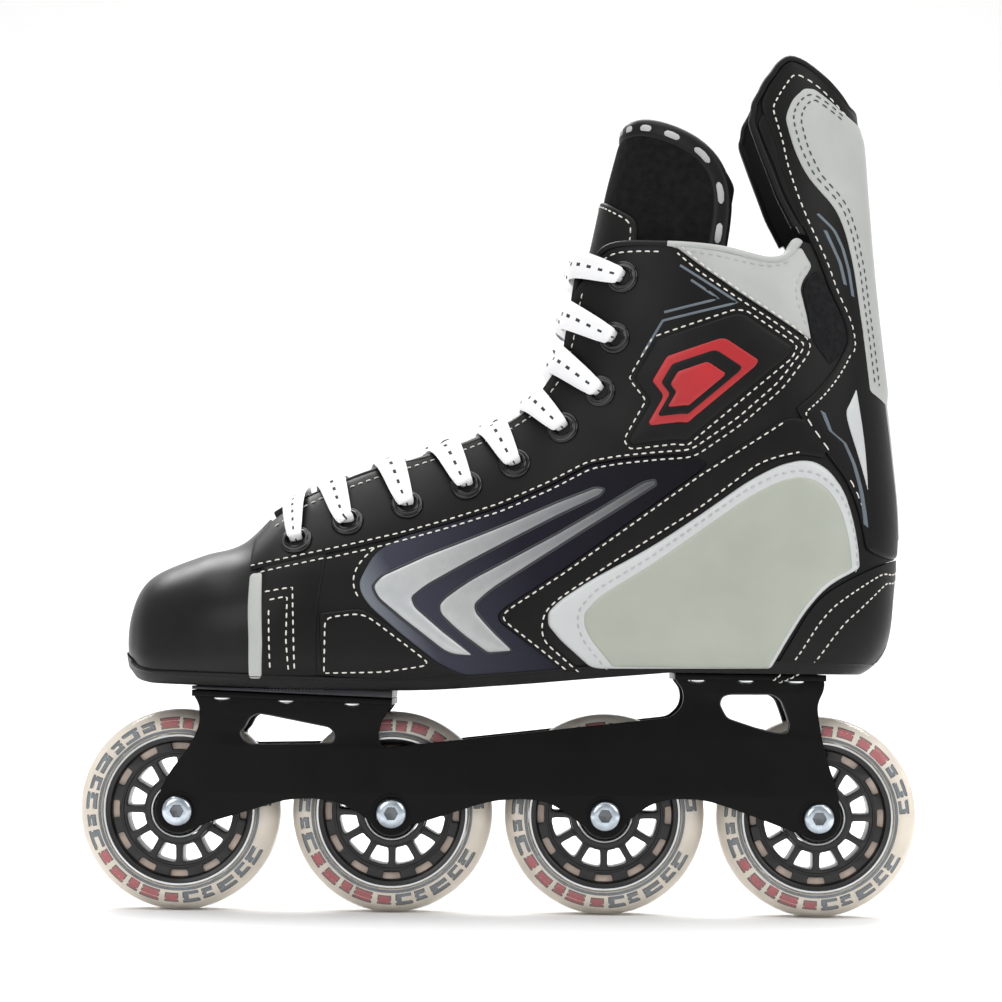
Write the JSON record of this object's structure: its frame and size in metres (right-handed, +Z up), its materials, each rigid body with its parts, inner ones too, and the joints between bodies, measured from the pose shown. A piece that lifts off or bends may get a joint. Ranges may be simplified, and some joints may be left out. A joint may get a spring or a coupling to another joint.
{
  "type": "inline hockey skate",
  "caption": "Left inline hockey skate: laced high boot with tendon guard, felt tongue and hard toe cap on a riveted frame with four wheels on sealed bearings.",
  "frame": {"origin": "on the floor, midway between the two middle wheels, in the centre plane of the frame", "axes": "+X from toe to heel, -Y to the outer side of the left foot, +Z up"},
  "size_m": [0.3332, 0.1062, 0.3386],
  "materials": {
    "tyre": "clear urethane over a printed core, glossy",
    "hub": "satin black nylon",
    "bearing_steel": "ground steel",
    "bolt_steel": "zinc plated",
    "rivet": "bright",
    "frame": "black anodised aluminium, satin",
    "shim": "moulded black",
    "sole": "moulded black",
    "lining": "brushed black textile",
    "tongue_felt": "black felt",
    "lace": "woven white with black dashes",
    "badge": "moulded pale sage, satin",
    "toe_cap": "satin black",
    "upper": "black synthetic leather, pale stitching"
  },
  "bodies": {
    "boot": {"frame": "frame", "front_shim": "shim", "rivet_front_1": "rivet", "rivet_front_2": "rivet", "rivet_front_3": "rivet", "rivet_front_4": "rivet", "rivet_front_5": "rivet", "rivet_front_6": "rivet", "rivet_rear_1": "rivet", "rivet_rear_2": "rivet", "rivet_rear_3": "rivet", "rivet_rear_4": "rivet", "rivet_rear_5": "rivet", "rivet_rear_6": "rivet", "outsole": "sole", "insole": "lining", "toe_cap": "toe_cap", "quarter_lateral": "upper", "quarter_medial": "upper", "badge_lateral": "badge", "badge_medial": "badge", "heel_counter": "upper", "liner": "lining", "tongue_base": "tongue_felt", "lace": "lace", "bearing_race_1_outer": "bearing_steel", "bearing_race_1_inner": "bearing_steel", "bearing_spacer_1": "bearing_steel", "axle_bolt_1": "bolt_steel", "bearing_race_2_outer": "bearing_steel", "bearing_race_2_inner": "bearing_steel", "bearing_spacer_2": "bearing_steel", "axle_bolt_2": "bolt_steel", "bearing_race_3_outer": "bearing_steel", "bearing_race_3_inner": "bearing_steel", "bearing_spacer_3": "bearing_steel", "axle_bolt_3": "bolt_steel", "bearing_race_4_outer": "bearing_steel", "bearing_race_4_inner": "bearing_steel", "bearing_spacer_4": "bearing_steel", "axle_bolt_4": "bolt_steel"},
    "tongue": {"tongue_top": "tongue_felt"},
    "guard": {"tendon_guard": "upper"},
    "wheel_1": {"tyre_1": "tyre", "hub_1": "hub", "bearing_shell_1_outer": "bearing_steel", "bearing_shell_1_inner": "bearing_steel"},
    "wheel_2": {"tyre_2": "tyre", "hub_2": "hub", "bearing_shell_2_outer": "bearing_steel", "bearing_shell_2_inner": "bearing_steel"},
    "wheel_3": {"tyre_3": "tyre", "hub_3": "hub", "bearing_shell_3_outer": "bearing_steel", "bearing_shell_3_inner": "bearing_steel"},
    "wheel_4": {"tyre_4": "tyre", "hub_4": "hub", "bearing_shell_4_outer": "bearing_steel", "bearing_shell_4_inner": "bearing_steel"}
  },
  "joints": [
    {"name": "wheel_1_spin", "type": "hinge", "parent": "boot", "child": "wheel_1", "pos_m": [-0.1266, 0, 0.04], "axis": [0, 1, 0], "continuous": true},
    {"name": "wheel_2_spin", "type": "hinge", "parent": "boot", "child": "wheel_2", "pos_m": [-0.0422, 0, 0.04], "axis": [0, 1, 0], "continuous": true},
    {"name": "wheel_3_spin", "type": "hinge", "parent": "boot", "child": "wheel_3", "pos_m": [0.0422, 0, 0.04], "axis": [0, 1, 0], "continuous": true},
    {"name": "wheel_4_spin", "type": "hinge", "parent": "boot", "child": "wheel_4", "pos_m": [0.1266, 0, 0.04], "axis": [0, 1, 0], "continuous": true},
    {"name": "tongue_flex", "type": "hinge", "parent": "boot", "child": "tongue", "pos_m": [0.0358, 0, 0.2672], "axis": [0, 1, 0], "range_deg": [-30, 7], "stiffness_Nm_per_rad": 0.6},
    {"name": "guard_flex", "type": "hinge", "parent": "boot", "child": "guard", "pos_m": [0.147, 0, 0.258], "axis": [0, 1, 0], "range_deg": [-4, 22], "stiffness_Nm_per_rad": 2}
  ]
}
